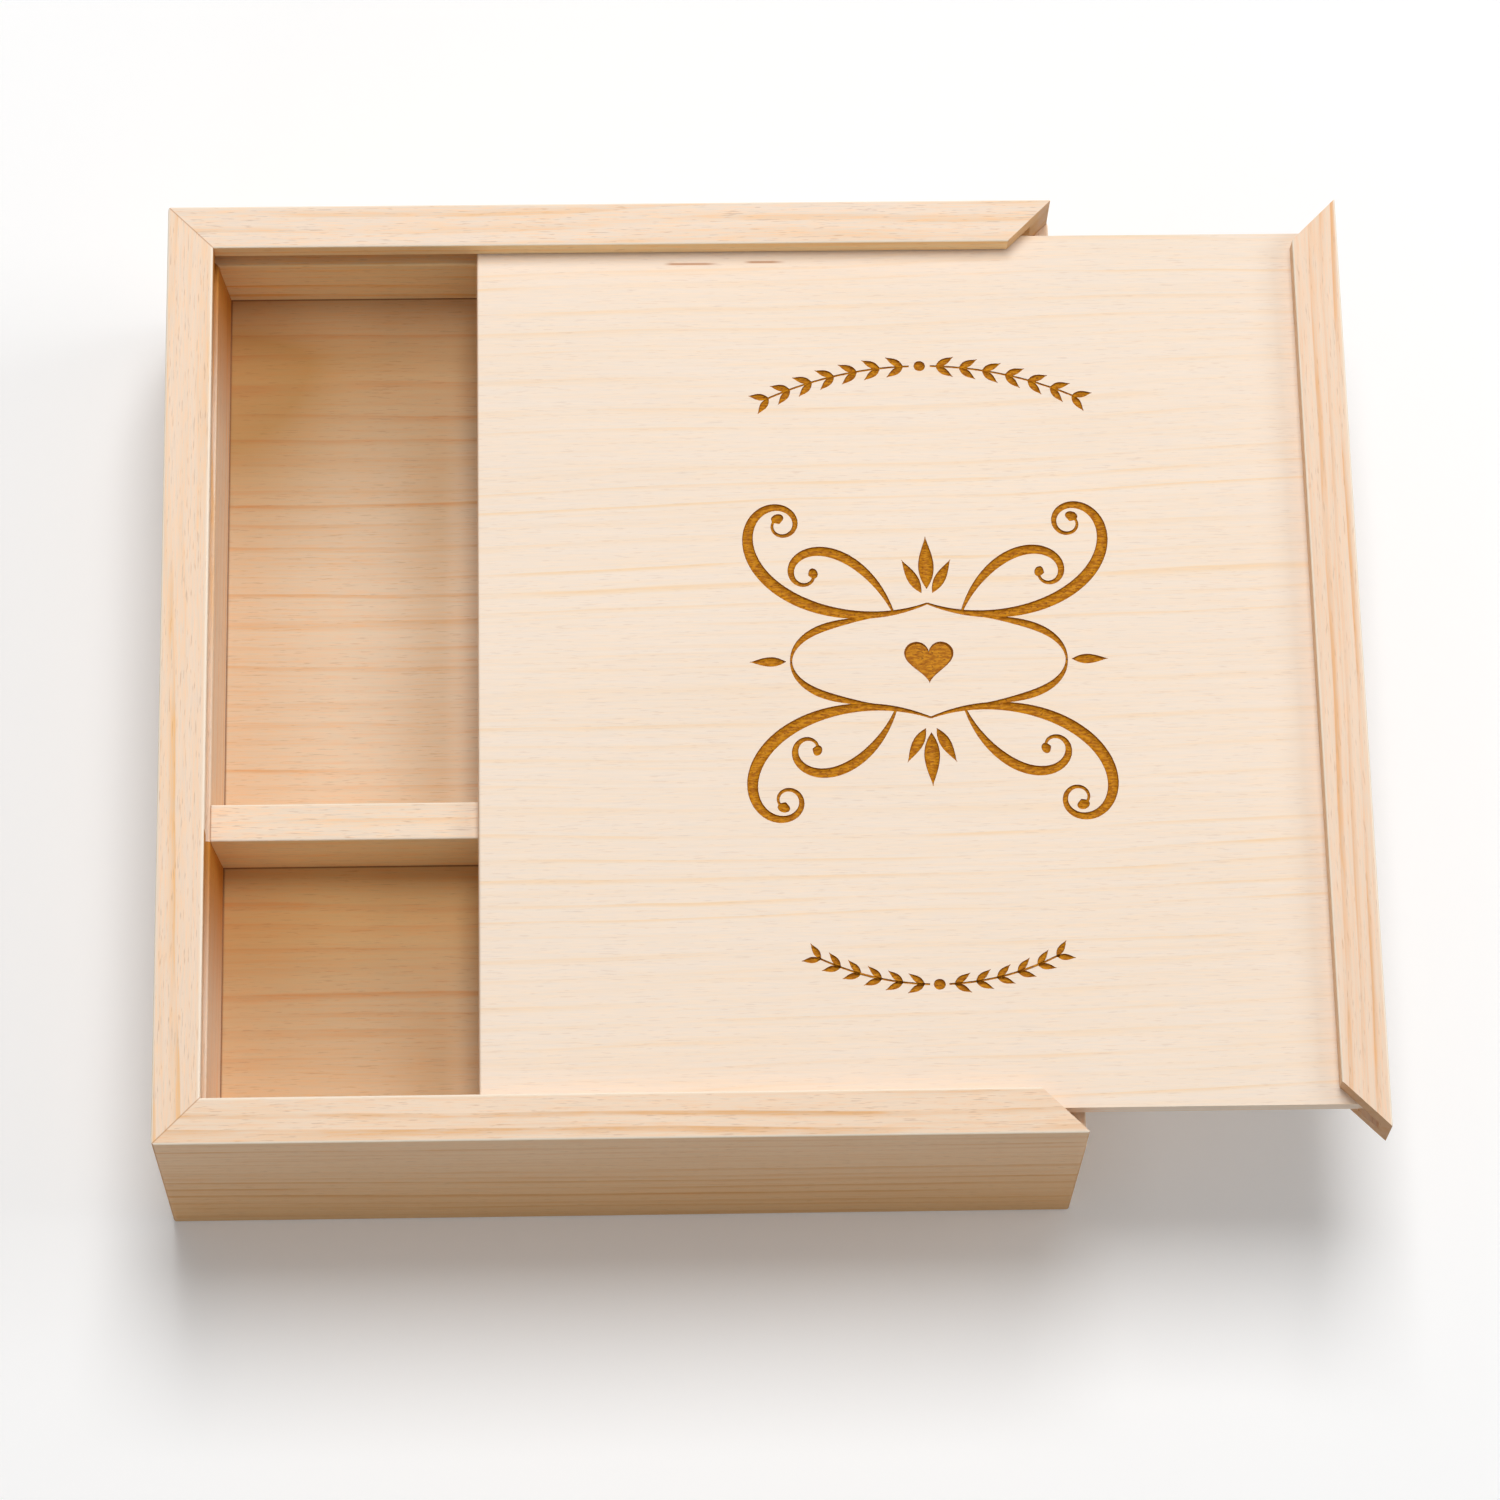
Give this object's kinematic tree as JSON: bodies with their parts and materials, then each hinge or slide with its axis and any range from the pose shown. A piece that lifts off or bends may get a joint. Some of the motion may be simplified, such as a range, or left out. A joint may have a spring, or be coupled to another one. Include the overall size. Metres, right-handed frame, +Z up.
{
  "type": "keepsake box",
  "caption": "Shallow pine box with a lid that slides in grooved mitred walls and a divider inside, for papers and keepsakes.",
  "frame": {"origin": "middle of the rectangle that the walls stand on, at the level of the table; the open lid is left out of it", "axes": "+X is the way the lid slides open, +Y points from the front compartment to the rear one, +Z is up"},
  "size_m": [0.2645, 0.22, 0.062],
  "materials": {
    "wall_pine": "sanded, unfinished",
    "inside_pine": "sanded, unfinished",
    "lid_pine": "sanded, unfinished, engraved on top"
  },
  "bodies": {
    "box": {"front_wall": "wall_pine", "rear_wall": "wall_pine", "left_wall": "wall_pine", "right_wall": "wall_pine", "base_panel": "inside_pine", "divider": "inside_pine"},
    "lid": {"lid_panel": "lid_pine", "lid_rail": "lid_pine"}
  },
  "joints": [
    {"name": "lid_slide", "type": "slide", "parent": "box", "child": "lid", "axis": [1, 0, 0], "range_m": [-0.0645, 0.135]}
  ]
}
